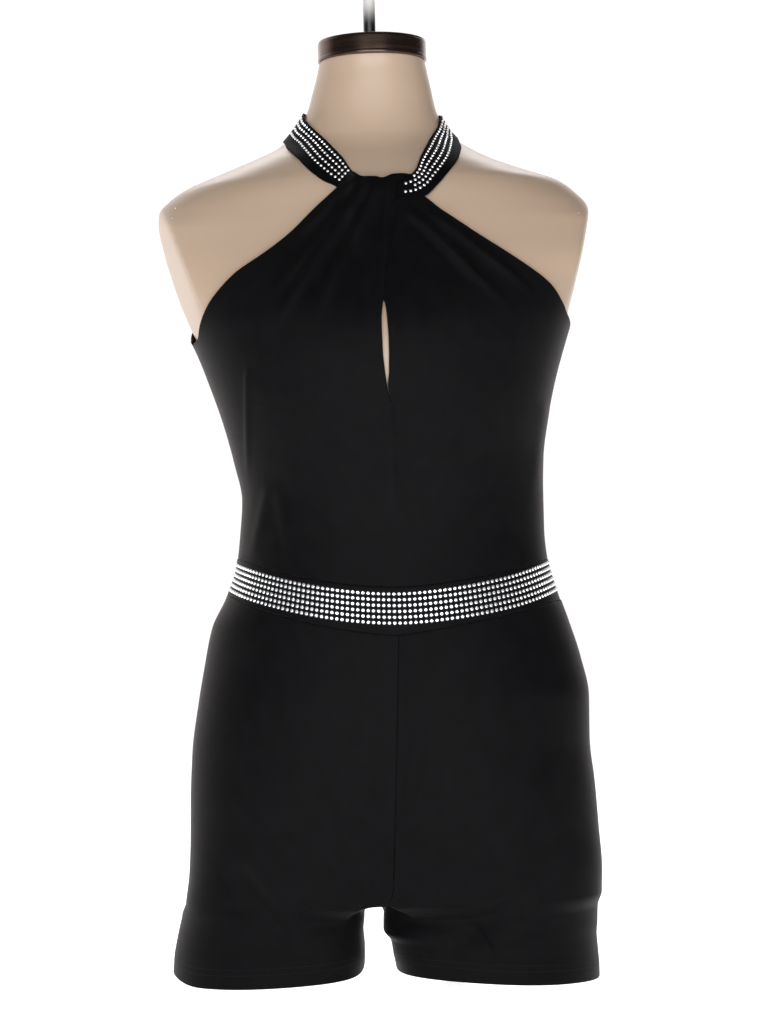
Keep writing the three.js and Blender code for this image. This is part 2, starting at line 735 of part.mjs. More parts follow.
// One of the four panels. Rows run from the waistband to the hem, and columns from the side seam to
// the middle seam above the crotch, along the crotch seam under it, and then down the inseam.
function shortsPanel(leg, face, hem) {
  const rows = PANEL.upper + PANEL.turn + PANEL.leg;
  const side = leg.side;
  const inX = leg.rows(CROTCH).inner;
  const seamX = (z) => {
    const front = SHORTS(z);
    const depth = face < 0 ? front.front : front.back;
    return depth * Math.tan(FRONT_SEAM(z).angle * RAD) + side * SEAM / 2;
  };
  const sideGap = face * SEAM / 2;

  const upperPoint = (u, z) => {
    const section = SHORTS(z);
    const depth = face < 0 ? section.front : section.back;
    const cornerX = inX + side * CORNER_SPREAD * ease((z - CROTCH) / SPREAD_HEIGHT);
    const towards = (x) => Math.atan2(x, depth) / RAD;
    const angle = u < SPLIT
      ? mix(side * 90, towards(cornerX), u / SPLIT)
      : mix(towards(cornerX), towards(seamX(z)), (u - SPLIT) / (1 - SPLIT));
    const turned = face < 0 ? angle : side * 180 - angle;
    const point = sectionPoint(section, turned, z, 0);
    point.y += sideGap * Math.max(0, 1 - u * 4);
    return point;
  };

  const turnEnd = CROTCH - CROTCH_DROP;
  const above = (u) => upperPoint(u, CROTCH);
  const cornerAngle = legAngle(leg, above(SPLIT));
  const inseam = new THREE.Vector3(leg.rows(turnEnd).inner, INSEAM_Y + face * SEAM / 2, 0);
  const inseamAngle = legAngle(leg, inseam);
  // Angle round the leg, going past 180 at the back rather than jumping to -180.
  const nearest = (angle, to) => angle + 360 * Math.round((to - angle) / 360);
  const ringAngle = (u) => (u <= SPLIT
    ? legAngle(leg, above(u))
    : mix(cornerAngle, nearest(inseamAngle, cornerAngle), (u - SPLIT) / (1 - SPLIT)));

  // Just under the crotch: from the line across the front, at 0, to the top of the leg, at 1.
  const turnPoint = (u, s) => {
    const from = above(u);
    const ring = legPoint(leg, ringAngle(u), turnEnd);
    const t = Math.max(0, (u - SPLIT) / (1 - SPLIT));
    const endX = mix(ring.x, side * SEAM / 2 - STRIP_X, t ** 10);
    const endY = ring.y + sideGap * Math.max(0, 1 - u * 4);
    const endZ = mix(turnEnd, CROTCH_STRIP, 1 - (1 - Math.min(t, 1)) ** 3);
    return new THREE.Vector3(mix(from.x, endX, ease(s)), mix(from.y, endY, ease(s)), mix(CROTCH, endZ, s));
  };

  const lowerPoint = (u, d) => {
    const angle = ringAngle(u);
    const z = mix(turnEnd, hem(-side * nearest(angle, 0)).z, d);
    const point = legPoint(leg, angle, z);
    point.y += sideGap * Math.max(0, 1 - u * 4);
    return point;
  };

  const sheet = gridSheet([PANEL.columns, rows], (across, up) => {
    const u = side * face > 0 ? across : 1 - across;
    const row = (1 - up) * rows;
    if (row <= PANEL.upper) {
      const guess = upperPoint(u, WAIST_LOW_EDGE.front);
      const top = waistEdge(WAIST_LOW_EDGE, Math.atan2(guess.x, -guess.y) / RAD) - SEAM;
      return creased(upperPoint(u, mix(top, CROTCH, row / PANEL.upper)));
    }
    if (row <= PANEL.upper + PANEL.turn) return creased(turnPoint(u, (row - PANEL.upper) / PANEL.turn));
    return creased(lowerPoint(u, (row - PANEL.upper - PANEL.turn) / PANEL.leg));
  });
  // Down the inseam the front and back walls are one surface, so neither leans into the other.
  const inseamColumn = side * face > 0 ? PANEL.columns : 0;
  for (let row = 0; row <= PANEL.leg; row += 1) {
    sheet.normals[row * (PANEL.columns + 1) + inseamColumn].setY(0).normalize();
  }
  return sheet;
}

function buildShorts() {
  for (const [legName, hem] of [['left', LEFT_HEM], ['right', RIGHT_HEM]]) {
    for (const [faceName, face] of [['front', -1], ['back', 1]]) {
      const sheet = shortsPanel(LEG[legName], face, hem);
      add(`shorts_${faceName}_${legName}`, wall(sheet, CLOTH), CLOTH_LOOK);
    }
  }
}

buildForm();
buildCapAndRod();
buildStand();
buildFrontBodice();
buildBackBodice();
buildNeckBand();
buildWaistband('waistband_front', -SIDE_ANGLE, WAIST_POINT, SIDE_ANGLE, GRID.waistFront);
buildWaistband('waistband_back', 180 - SIDE_ANGLE, 180, 180 + SIDE_ANGLE, GRID.waistBack);
buildShorts();

export default romper;
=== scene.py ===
"""A black halter romper with a keyhole front, worn by a limbless dress form on a flat stand.

Blender 4.5. The wearer faces -Y. Shapes are worked out in millimetres in the same frame as the
CAD model and turned into metres where a mesh is made.
"""

import math
from types import SimpleNamespace

import bmesh
import bpy
import numpy as np
from mathutils import Matrix, Vector


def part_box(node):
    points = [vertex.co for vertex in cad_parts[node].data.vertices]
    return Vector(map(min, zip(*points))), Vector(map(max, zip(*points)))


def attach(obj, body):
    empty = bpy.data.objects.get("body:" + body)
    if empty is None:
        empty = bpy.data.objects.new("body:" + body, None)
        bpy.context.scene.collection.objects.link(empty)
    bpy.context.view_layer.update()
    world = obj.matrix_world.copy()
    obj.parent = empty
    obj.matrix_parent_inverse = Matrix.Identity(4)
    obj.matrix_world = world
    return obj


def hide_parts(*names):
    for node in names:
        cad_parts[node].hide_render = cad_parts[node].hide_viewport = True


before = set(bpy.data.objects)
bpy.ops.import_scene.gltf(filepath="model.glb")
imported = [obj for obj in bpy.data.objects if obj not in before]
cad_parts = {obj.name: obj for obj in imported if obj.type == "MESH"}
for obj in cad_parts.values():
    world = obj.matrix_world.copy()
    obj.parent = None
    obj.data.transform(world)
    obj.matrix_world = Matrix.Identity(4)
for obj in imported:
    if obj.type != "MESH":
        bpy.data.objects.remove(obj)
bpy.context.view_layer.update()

# ---- driving dimensions, in millimetres ----

MM = 0.001
SEAM = 0.01         # gap between two pieces at a seam, closed up tighter than in the CAD
SMOOTH_STEP = 2.0   # height of a row in a smoothed table

FORM_BOTTOM = 190
NECK_TOP = 1060
PLATE_THICK = 3
PLATE_HEIGHT = 850  # height at which the arm plates' reach is taken
PLATE_FOOT = 735    # nothing of the form is cut off below this
PLATE_ROUNDING = 6  # distance over which the form bends into its arm plates
BEND_FOOT = 690     # the form begins to bend at this height
BEND_RISE = 50      # and does so in full this much higher
FORM_BEVEL = 0.3
SHARP = 0.6         # an edge is bevelled if its faces meet at more than this, in radians

CLOTH = 1.6         # wall of every cloth panel
CLOTH_OFFSET = 4.5  # outer face of the cloth above the form
DEEPEST_TROUGH = 1.2  # a fold over the form goes no deeper
SIDE_ANGLE = 89.99  # a front or back ends here, half a seam gap short of the side
BAND_LIFT = 0.6     # the waistband stands out from the panels by this much
WAIST_TUCK = 0.03   # how far the edges at the waistband's seams reach into each other
WAIST_POINT = 5.3   # angle of the point in the middle of the waistband's lower edge
SLIT_BOTTOM = 693
LAP_LIFT = 2.4      # the left lobe lies over the right one by this much,
LAP_FOOT = 745      # from this height up,
LAP_RISE = 40       # in full this much higher,
LAP_BEYOND = 9      # and begins this many degrees before the right lobe's hidden edge,
LAP_TURN = 7        # in full this many degrees on

CROTCH = 187
CROTCH_STRIP = 184.5  # height of the cloth's strip between the legs,
STRIP_X = 20        # and how far each panel reaches over the middle there
CROTCH_DROP = 18    # a leg is a plain tube from this far below the crotch
CORNER_SPREAD = 45  # a leg's inner corner lies this much further out
SPREAD_HEIGHT = 200  # at this height above the crotch
INSEAM_Y = 10

STONE_PITCH = 5.27
STONE_RADIUS = 1.75
NECK_STONE_SHARE = 0.82  # size of the neck band's stones against the waistband's
STONE_ROWS = 6      # on the waistband
HEM_ROWS = (14, 20)  # heights of the two rows of stitches above the hem


# ---- tables ----

def numbers(text):
    """The rows of a table that is written as text, one row to a line."""
    return [[float(word) for word in line.split()] for line in text.strip().splitlines()]


class Table:
    """Columns that can be read at any value of the first one, along smooth monotone curves."""

    def __init__(self, columns, rows):
        self.names = columns.split()[1:]
        rows = np.array(numbers(rows) if isinstance(rows, str) else rows)
        self.keys, self.values = rows[:, 0], rows[:, 1:]
        rise = np.diff(self.values, axis=0) / np.diff(self.keys)[:, None]
        before, after = rise[:-1], rise[1:]
        same = before * after > 0
        mean = 2 * before * after / np.where(same, before + after, 1)
        self.slopes = np.vstack([rise[:1], np.where(same, mean, 0), rise[-1:]])

    def __call__(self, at):
        x = np.clip(np.asarray(at, float), self.keys[0], self.keys[-1])
        k = np.clip(np.searchsorted(self.keys, x) - 1, 0, len(self.keys) - 2)
        span = (self.keys[k + 1] - self.keys[k])[..., None]
        t = (x - self.keys[k])[..., None] / span
        a = 2 * t**3 - 3 * t**2 + 1
        value = (a * self.values[k] + (1 - a) * self.values[k + 1]
                 + span * ((t**3 - 2 * t**2 + t) * self.slopes[k] + (t**3 - t**2) * self.slopes[k + 1]))
        return SimpleNamespace(**{name: value[..., i] for i, name in enumerate(self.names)})

    def smoothed(self, low, high, spread):
        """The same table in finer rows, with its two depths made smoother between two keys."""
        keys = np.arange(self.keys[0], self.keys[-1] + 1, SMOOTH_STEP)
        values = np.stack([getattr(self(keys), name) for name in self.names], axis=1)
        reach_out = np.arange(-4 * spread, 4 * spread + 1, SMOOTH_STEP)
        weights = np.exp(-((reach_out / spread) ** 2) / 2)
        here = np.clip((keys - low) / spread, 0, 1) * np.clip((high - keys) / spread, 0, 1)
        for k in (self.names.index("front"), self.names.index("back")):
            wide = np.pad(values[:, k], len(reach_out) // 2, "edge")
            soft = np.convolve(wide, weights / weights.sum(), "valid")
            values[:, k] += here * (soft - values[:, k])
        return Table("at " + " ".join(self.names), np.column_stack([keys, values]))


def records(columns, text):
    return [SimpleNamespace(**dict(zip(columns.split(), row))) for row in numbers(text)]


# Where each arm plate lies at PLATE_HEIGHT, how much it leans in towards the foot for each
# millimetre of height, and how far it is turned round Z, in degrees.
PLATES = [SimpleNamespace(name="left", side=-1, reach=216, slope=0.285, turn=11),
          SimpleNamespace(name="right", side=1, reach=213.5, slope=0.235, turn=0)]

# Edges of the waistband. The front's lowest point lies at X = middle. From there each edge rises
# to its side seam along a curve, whose power says how sharp the point is.
WAIST_TOP_EDGE, WAIST_LOW_EDGE = records(
    "front middle back left_rise left_power right_rise right_power", """
509.0 15.0 541 32.5 1.85 24.0 1.68
460.7 11.4 497 44.0 1.55 29.3 1.20
""")

# Half widths, depths and squareness of the form's level sections.
FORM = Table("z left right front back power", """
190 170 168 100 118 2.8
215 186 185 107 130 2.7
250 196 195 115 143 2.5
300 201 201 121 152 2.4
345 200 202 124 153 2.3
390 194 203 124 143 2.3
430 187 197 122 130 2.2
470 178 184 118 116 2.2
500 163 174 115 110 2.2
530 152 166 113 106 2.2
565 147 163 112 103 2.2
603 144 163 115 104 2.2
640 151 164 124 107 2.2
680 161 170 138 111 2.2
720 174 179 147 114 2.2
762 190 191.5 146 116 2.3
790 206 201 139 117 2.4
820 224 214 126 116 2.4
855 236 228 111 113 2.4
883 238 229 100 110 2.4
903 230 221 93 106 2.4
917 216.5 208 88.5 103 2.4
928 200 193 84 101 2.4
941 169.5 156.5 77 98 2.3
953 140 125 69 95 2.2
962 118.5 107 63 92.5 2.1
971 101 92 58.5 90 2
979 91 82 55.5 87 2
992 80.5 72.5 53 82 2
1008 70 65.5 51.5 76 2
1030 63.3 61 51 67 2
1045 59 58 51 60 2
1060 55.5 55 52 53 2
""")

# The knit's sheen shows every step in these depths.
FORM = FORM.smoothed(low=560, high=900, spread=16)

# Outer face of the shorts above the crotch, which hang clear of the form below the hips.
SHORTS = Table("z left right front back power", """
187 217 217 108 132 2.8
215 213 218 113 138 2.7
250 211 216 120 149 2.5
300 209.5 213 126 157 2.4
345 206.5 209 129 158 2.3
390 199.5 209.5 129 148 2.3
430 192 202 127 135 2.2
470 183 190 123 121 2.2
500 168 180 120 115 2.2
530 157 172 118 111 2.2
""")

SHORTS = SHORTS.smoothed(low=200, high=520, spread=14)

# Leg tubes below the crotch: reach of the outer and inner side as X, and the two depths.
LEFT_LEG = Table("z outer inner front back", """
90 -235 -32 100 121
110 -233 -32 98 121
130 -231 -32 97 122
150 -227 -33 96 122
170 -222 -33 97 122
187 -217 -33 100 122
""")
RIGHT_LEG = Table("z outer inner front back", """
88 213 2 99 121
106 213 1 98 121
125 212 -2 97 122
142 211 -5 97 122
152 212 -12 97 122
170 213 -11 98 122
187 217 0 101 122
""")

# Hem height round each leg: 0 at the front, 90 at the inner side, 180 at the back.
LEFT_HEM = Table("angle z", """
-180 112
-90 112
-50 104
0 106
45 111
90 119
180 112
270 112
""")
RIGHT_HEM = Table("angle z", """
-180 102
-90 96
-45 99
0 104
55 111
90 112
180 102
270 96
""")
LEGS = {
    "left": SimpleNamespace(rows=LEFT_LEG, hem=LEFT_HEM, centre=-122, inner_power=3.6, side=-1),
    "right": SimpleNamespace(rows=RIGHT_LEG, hem=RIGHT_HEM, centre=106, inner_power=3.0, side=1),
}
OUTER_POWER = 2.0   # squareness of a leg's outer side

# Angle of the seam between the left and right panels.
FRONT_SEAM = Table("z angle", """
180 -3
187 -3
200 -0.6
275 1.4
336 2.7
396 4
460 5.3
""")

# Upper edge of the front: armhole, gathered neckline, and armhole again.
LEFT_LOBE_TOP = Table("angle z", """
-100 763
-90 764
-74 767
-66.5 781.6
-58.6 809
-53 832
-47.3 847.8
-40.4 868.5
-32 896.7
-23.2 916.3
-19.3 924.8
-15.3 933.6
-8 927.7
0.5 927.2
3.7 925.4
11.8 929.6
16.2 930
22 928.5
27 925
""")
RIGHT_LOBE_TOP = Table("angle z", """
-14 893
0 896
10 902
16 908
22 912
27.6 904.5
32.8 892.4
38.4 880
47.4 856
55.5 833
63 813
68.8 796
74.3 784.5
83.4 776.5
90 772
100 770
""")
BACK_TOP = Table("angle z", """
80 768
90 770
102 784
114 815
127 862
139 910
149 948
157 968
167 978
180 980
""")

# Free edges of the two lobes above the slit's foot, as angles round the form.
LEFT_LOBE_EDGE = Table("z angle", """
693 3.7
711 2.4
727 1.7
744 1.2
774 1
797 2
832 4.3
858 7.1
880 10.7
897 12.7
911 16.5
922 20.5
932 25
""")
RIGHT_LOBE_EDGE = Table("z angle", """
693 3.7
710 2.8
725 3.3
750 3.5
777 3.2
793 2.6
797 2
832 -2
860 -5
900 -11
""")

# The neck band from its left front end, which goes on under the gathers, round the nape, to its
# right front end. Its lower edge is raised by the lift, and its upper edge hugs the neck more.
NECK_BAND = Table("at top_angle top_z low_angle low_z lift hug", """
0 -11.5 929.5 -20.5 912 -2 0
3 -15.5 934.2 -23.4 917 -2 0
8 -23.5 949 -31 924.5 -0.3 1
12 -33.8 961.7 -37.8 933.8 0 1.5
18 -49.8 978 -51 952 0 1.5
25 -71 997 -66 966 0 1.5
33 -90 1008.5 -88 978 0 0.3
50 -180 1013 -180 980.5 0 1.5
67 -278 1000 -272 977.5 0 0.3
75 -295 985.5 -297 959.5 0 1.5
82 -309.4 972 -316 934.5 0.4 1.5
89 -327 950 -325 918 2 1
95 -336.5 931 -332.5 905.5 4.8 0
98 -342.6 923 -337 902 5.4 0
100 -346.6 918 -349 901 5.4 0
""")

# Heights across the neck band, as shares of its width, of the four rows of stones.
NECK_ROWS = Table("at first second third fourth", """
0 0.32 0.50 0.68 0.86
90 0.32 0.50 0.68 0.86
95 0.35 0.53 0.70 0.86
97 0.37 0.56 0.75 0.88
100 0.42 0.60 0.84 0.88
""")
NECK_ROW_ENDS = {"first": 99.3, "second": 97.4, "third": 98.9, "fourth": 96.2}
NECK_ROW_START = 3.4

# The waistband's stones: their first row lies below its upper edge by the margin.
STONE_SPACING = Table("angle margin row", """
-180 5.5 5.6
-90 6 5
-60 7 5.4
5 7.3 5.85
50 7 5.85
90 3.2 5.6
180 5.5 5.6
""")

# A fold fades in round its start and out round its end, here as shares of its length.
FOLD_LEAD, FOLD_RISE = 0.12, 0.2
FOLD_TRAIL, FOLD_FALL = 1.15, 0.6

# Ridges and troughs of the cloth, from one point to the other, as seen from the front.
FRONT_FOLDS = records("x1 z1 x2 z2 width height", """
-8 922 -98 784 5 3.6
3 922 -60 786 6 4.2
-2 916 -68 806 4 -1.2
-22 926 -82 864 5 2.4
-32 898 -104 806 4.5 2.0
16 924 2 812 5 2.8
-18 930 -46 884 2.4 1.5
-7 928 -30 868 2.2 1.5
0 927 -14 858 2.0 1.3
5 927 -6 850 2.0 1.2
12 928 3 846 2.0 1.3
36 886 121 797 5 3.3
36 878 96 808 4 -1.2
60 884 156 803 5 2.3
44 884 84 836 2.6 1.4
8 694 10 590 5 1.5
15 692 17 600 4 -1.2
-134 730 -139 628 3 1.7
-117 612 -137 540 6 1.4
-107 612 -95 540 6 1.2
168 690 153 594 7 1.3
-160 222 -104 136 13 -8
-96 172 -30 166 11 -7
-90 190 -24 180 5 4.6
-150 196 -118 150 5 1.6
0 168 110 172 11 -7
22 187 124 190 5 4.2
134 194 52 136 13 -8
84 166 98 120 7 4.0
89 156 94 134 3 1.2
112 137 142 149 4 1.5
""")

# The same for the back, still with X towards the wearer's left.
BACK_FOLDS = records("x1 z1 x2 z2 width height", """
-34 962 -96 838 7 1.8
30 964 88 846 7 1.8
-10 968 -22 858 6 1.2
12 966 30 872 6 1.2
-60 640 -84 552 8 1.6
-20 632 -26 552 7 1.2
26 640 32 552 7 1.3
72 642 92 552 8 1.6
-150 238 -60 176 15 -4
146 236 64 172 15 -4
-110 164 -96 112 9 3
92 160 104 106 9 3
""")


# ---- helpers ----

def mix(a, b, t):
    return a + (b - a) * t


def mix_through(a, middle, b, t):
    return np.where(t < 0.5, mix(a, middle, t * 2), mix(middle, b, t * 2 - 1))


def ease(t):
    s = np.clip(t, 0, 1)
    return s * s * (3 - 2 * s)


def vector(x, y, z):
    return np.stack(np.broadcast_arrays(x, y, z), axis=-1).astype(float)


def unit(v):
    return v / np.maximum(np.linalg.norm(v, axis=-1, keepdims=True), 1e-12)


def reach(sine, cosine, half_width, depth, power):
    """Distance from the middle to a superellipse in a direction."""
    return 1 / ((np.abs(sine) / half_width) ** power + (np.abs(cosine) / depth) ** power) ** (1 / power)


def section_point(section, angle, z, lift=0.0):
    """A point on a level section, at an angle from the front (-Y), positive towards +X."""
    sine, cosine = np.sin(np.radians(angle)), np.cos(np.radians(angle))
    half_width = np.where(sine < 0, section.left, section.right) + lift
    depth = np.where(cosine > 0, section.front, section.back) + lift
    r = reach(sine, cosine, half_width, depth, section.power)
    return vector(r * sine, -r * cosine, z)


def fold_height(point):
    """Height of all folds at a point."""
    x, y, z = point[..., 0], point[..., 1], point[..., 2]
    total = np.zeros_like(x)
    for folds, here in ((FRONT_FOLDS, y < 0), (BACK_FOLDS, y > 0)):
        for fold in folds:
            dx, dz = fold.x2 - fold.x1, fold.z2 - fold.z1
            length = math.hypot(dx, dz)
            along = ((x - fold.x1) * dx + (z - fold.z1) * dz) / length**2
            across = ((x - fold.x1) * dz - (z - fold.z1) * dx) / length
            taper = ease((along + FOLD_LEAD) / FOLD_RISE) * ease((FOLD_TRAIL - along) / FOLD_FALL)
            total += here * fold.height * taper * np.exp(-((across / fold.width) ** 2))
    return total


def cloth_point(angle, z, lift=0.0):
    """The cloth's outer face over the form."""
    section = FORM(z)
    plain = section_point(section, angle, z, CLOTH_OFFSET + lift)
    fold = np.maximum(fold_height(plain), -DEEPEST_TROUGH)
    return section_point(section, angle, z, CLOTH_OFFSET + lift + fold)


def waist_edge(edge, angle):
    """Height of an edge of the waistband at an angle round it."""
    angle = np.asarray(angle, float)
    section = FORM(edge.back)
    x = section_point(section, angle, 0, CLOTH_OFFSET)[..., 0]
    left = x < edge.middle
    end = np.where(left, -section.left - CLOTH_OFFSET, section.right + CLOTH_OFFSET)
    share = np.abs((x - edge.middle) / (end - edge.middle))
    front = edge.front + np.where(left, edge.left_rise * share**edge.left_power,
                                  edge.right_rise * share**edge.right_power)
    side = edge.front + np.where(angle < 0, edge.left_rise, edge.right_rise)
    back = mix(edge.back, side, np.sin(np.radians(angle)) ** 2)
    return np.where(np.abs(angle) <= 90, front, back)


# ---- sheets and shells ----

def grid_sheet(columns, rows, point_at):
    """Points, normals and quads of a grid; a spare column on either side steadies its normals."""
    u, v = np.meshgrid(np.arange(-1, columns + 2) / columns, np.arange(rows + 1) / rows)
    wide = point_at(u, v)
    points = wide[:, 1:-1]
    across = wide[:, 2:] - wide[:, :-2]
    up = np.gradient(points, axis=0)
    normals = unit(np.cross(across, up))
    size = points.shape[:2]
    ids = np.arange(size[0] * size[1]).reshape(size)
    quads = np.stack([ids[:-1, :-1], ids[:-1, 1:], ids[1:, 1:], ids[1:, :-1]], axis=-1).reshape(-1, 4)
    width = np.linalg.norm(np.diff(points, axis=1), axis=-1).sum(1).mean()
    height = np.linalg.norm(np.diff(points, axis=0), axis=-1).sum(0).mean()
    weave = vector(u[:, 1:-1] * width, v[:, 1:-1] * height, 0)
    return SimpleNamespace(points=points.reshape(-1, 3), normals=normals.reshape(-1, 3), quads=quads,
                           weave=weave.reshape(-1, 3), size=size)


def join_sheets(*sheets):
    """Several sheets as one, with the points that they share made common."""
    start = np.cumsum([0] + [len(s.points) for s in sheets])
    points = np.vstack([s.points for s in sheets])
    _, first, index = np.unique(np.round(points, 3), axis=0, return_index=True, return_inverse=True)
    index = index.ravel()
    normals = np.zeros((len(first), 3))
    np.add.at(normals, index, np.vstack([s.normals for s in sheets]))
    quads = index[np.vstack([s.quads + k for s, k in zip(sheets, start)])]
    weave = np.vstack([s.weave for s in sheets])[first]
    return SimpleNamespace(points=points[first], normals=unit(normals), quads=quads, weave=weave)


def border(sheet):
    """Directed border edges of a sheet, and the way out of the cloth at each border point."""
    edges = np.vstack([sheet.quads[:, [k, (k + 1) % 4]] for k in range(4)])
    pairs = {tuple(edge) for edge in edges.tolist()}
    loose = np.array([(a, b) for a, b in pairs if (b, a) not in pairs])
    loose = loose[np.lexsort((loose[:, 1], loose[:, 0]))]
    along = unit(sheet.points[loose[:, 1]] - sheet.points[loose[:, 0]])
    out = np.zeros_like(sheet.points)
    for end in (0, 1):
        np.add.at(out, loose[:, end], np.cross(along, sheet.normals[loose[:, end]]))
    return loose, unit(out)


RIM_STEPS = 6


def shell(sheet, thickness):
    """A closed wall under a sheet, with round rims: vertices, faces and weave coordinates."""
    loose, out = border(sheet)
    radius = thickness / 2
    rim = np.unique(loose)
    count = len(sheet.points)
    outer, inner = sheet.points.copy(), sheet.points - sheet.normals * thickness
    outer[rim] -= out[rim] * radius
    inner[rim] -= out[rim] * radius
    centre = outer[rim] - sheet.normals[rim] * radius
    layers = [outer, inner]
    place = np.full((RIM_STEPS + 1, count), -1)
    place[0], place[-1] = np.arange(count), np.arange(count) + count
    total = 2 * count
    for step in range(1, RIM_STEPS):
        turn = math.pi * step / RIM_STEPS
        way = math.cos(turn) * sheet.normals[rim] + math.sin(turn) * out[rim]
        layers.append(centre + radius * way)
        place[step, rim] = total + np.arange(len(rim))
        total += len(rim)
    faces = [sheet.quads, sheet.quads[:, ::-1] + count]
    first, last = loose.T
    for low, high in zip(place, place[1:]):
        faces.append(np.stack([low[last], low[first], high[first], high[last]], 1))
    weave = np.vstack([sheet.weave, sheet.weave] + [sheet.weave[rim]] * (RIM_STEPS - 1))
    return np.vstack(layers), np.vstack(faces), weave


def add_object(name, mesh, material, smooth=True):
    """Puts a mesh into the scene, in one material."""
    mesh.polygons.foreach_set("use_smooth", [smooth] * len(mesh.polygons))
    mesh.materials.append(material)
    piece = bpy.data.objects.new(name, mesh)
    bpy.context.scene.collection.objects.link(piece)
    return piece


def make_mesh(name, vertices, faces, material, smooth=True, weave=None):
    """A mesh object from arrays or lists of vertices, in millimetres, and of faces."""
    mesh = bpy.data.meshes.new(name)
    mesh.from_pydata((np.asarray(vertices) * MM).tolist(), [], faces)
    if weave is not None:
        attribute = mesh.attributes.new("weave", "FLOAT_VECTOR", "POINT")
        attribute.data.foreach_set("vector", weave.astype(np.float32).ravel())
    mesh.validate()
    return add_object(name, mesh, material, smooth)


def cloth_piece(name, sheet, node, thickness=CLOTH, material=None):
    """A shell of cloth that stands for a CAD node: the node is hidden and the shell hung on the root
    body.
    """
    vertices, faces, weave = shell(sheet, thickness)
    piece = make_mesh(name, vertices, faces.tolist(), material or KNIT, weave=weave)
    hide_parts(node)
    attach(piece, "root")


def hard_piece(piece, slot, *nodes):
    """Hangs a rigid or sewn-on piece on the root body, hiding the CAD nodes that it may stand for."""
    if nodes:
        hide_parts(*nodes)
    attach(piece, "root")


def ring_quads(rings, count, start=0):
    """Faces between one ring of points and the next, all with the same count."""
    return [(low + k, low + (k + 1) % count, low + count + (k + 1) % count, low + count + k)
            for low in range(start, start + (rings - 1) * count, count) for k in range(count)]


def lathe(name, profile, rounding, material, segments=96, at=(0, 0, 0)):
    """A turned piece from (radius, height) points that start and end on the axis."""
    profile = rounded(profile, rounding)
    rings = [p for p in profile if p[0] > 0]
    angles = np.linspace(0, 2 * math.pi, segments, endpoint=False)
    vertices = [[0, 0, profile[0][1]]]
    for radius, height in rings:
        vertices += [[radius * math.cos(a), radius * math.sin(a), height] for a in angles]
    vertices.append([0, 0, profile[-1][1]])
    faces = ring_quads(len(rings), segments, start=1)
    top = 1 + (len(rings) - 1) * segments
    for k in range(segments):
        n = (k + 1) % segments
        faces += [(0, 1 + n, 1 + k), (top + k, top + n, len(vertices) - 1)]
    return make_mesh(name, np.array(vertices) + at, faces, material)


def rounded(profile, radius, steps=4):
    """A profile with each inner corner replaced by an arc of about that radius."""
    points = [np.array(p, float) for p in profile]
    result = [points[0]]
    for before, corner, after in zip(points, points[1:], points[2:]):
        cut = min(radius, np.linalg.norm(before - corner) / 2, np.linalg.norm(after - corner) / 2)
        start = corner + unit(before - corner) * cut
        end = corner + unit(after - corner) * cut
        for t in np.linspace(0, 1, steps + 1):
            result.append((1 - t) ** 2 * start + 2 * t * (1 - t) * corner + t**2 * end)
    return result + [points[-1]]


# ---- materials ----

def adder(tree):
    """A function that adds a node to a tree. A setting is a value, a socket to link from, or a
    node that stands for its first output."""
    def add(kind, inputs=(), **settings):
        node = kind if isinstance(kind, bpy.types.Node) else tree.nodes.new("ShaderNode" + kind)
        pairs = list(zip(node.inputs, inputs))
        for key, value in settings.items():
            name = key.replace("_", " ")
            if name in node.inputs:
                pairs.append((node.inputs[name], value))
            else:
                setattr(node, key, value)
        for socket, value in pairs:
            if isinstance(value, bpy.types.Node):
                value = value.outputs[0]
            if isinstance(value, bpy.types.NodeSocket):
                tree.links.new(value, socket)
            else:
                socket.default_value = value
        return node

    return add


def new_material(name, **constants):
    """A material, its adder and its shader, which has the given values all over."""
    material = bpy.data.materials.new(name)
    material.use_nodes = True
    add = adder(material.node_tree)
    return material, add, add(material.node_tree.nodes["Principled BSDF"], **constants)


def two_tones(add, shader, vector, scale, low, high, detail=3.0):
    """Base colour that wanders softly between two tones. Gives the noise that it follows."""
    noise = add("TexNoise", Vector=vector, Scale=scale, Detail=detail)
    ramp = add("ValToRGB", Fac=noise)
    for stop, position, tone in zip(ramp.color_ramp.elements, (0.3, 0.7), (low, high)):
        stop.position, stop.color = position, (*tone, 1)
    add(shader, Base_Color=ramp)
    return noise


def uneven_gloss(add, shader, noise, low, high):
    add(shader, Roughness=add("MapRange", Value=noise, To_Min=low, To_Max=high))


def relief(add, shader, height, strength, distance):
    add(shader, Normal=add("Bump", Height=height, Strength=strength, Distance=distance))


WALE = 0.9      # millimetres from one column of the knit to the next
COURSE = 0.7    # and from one row to the next


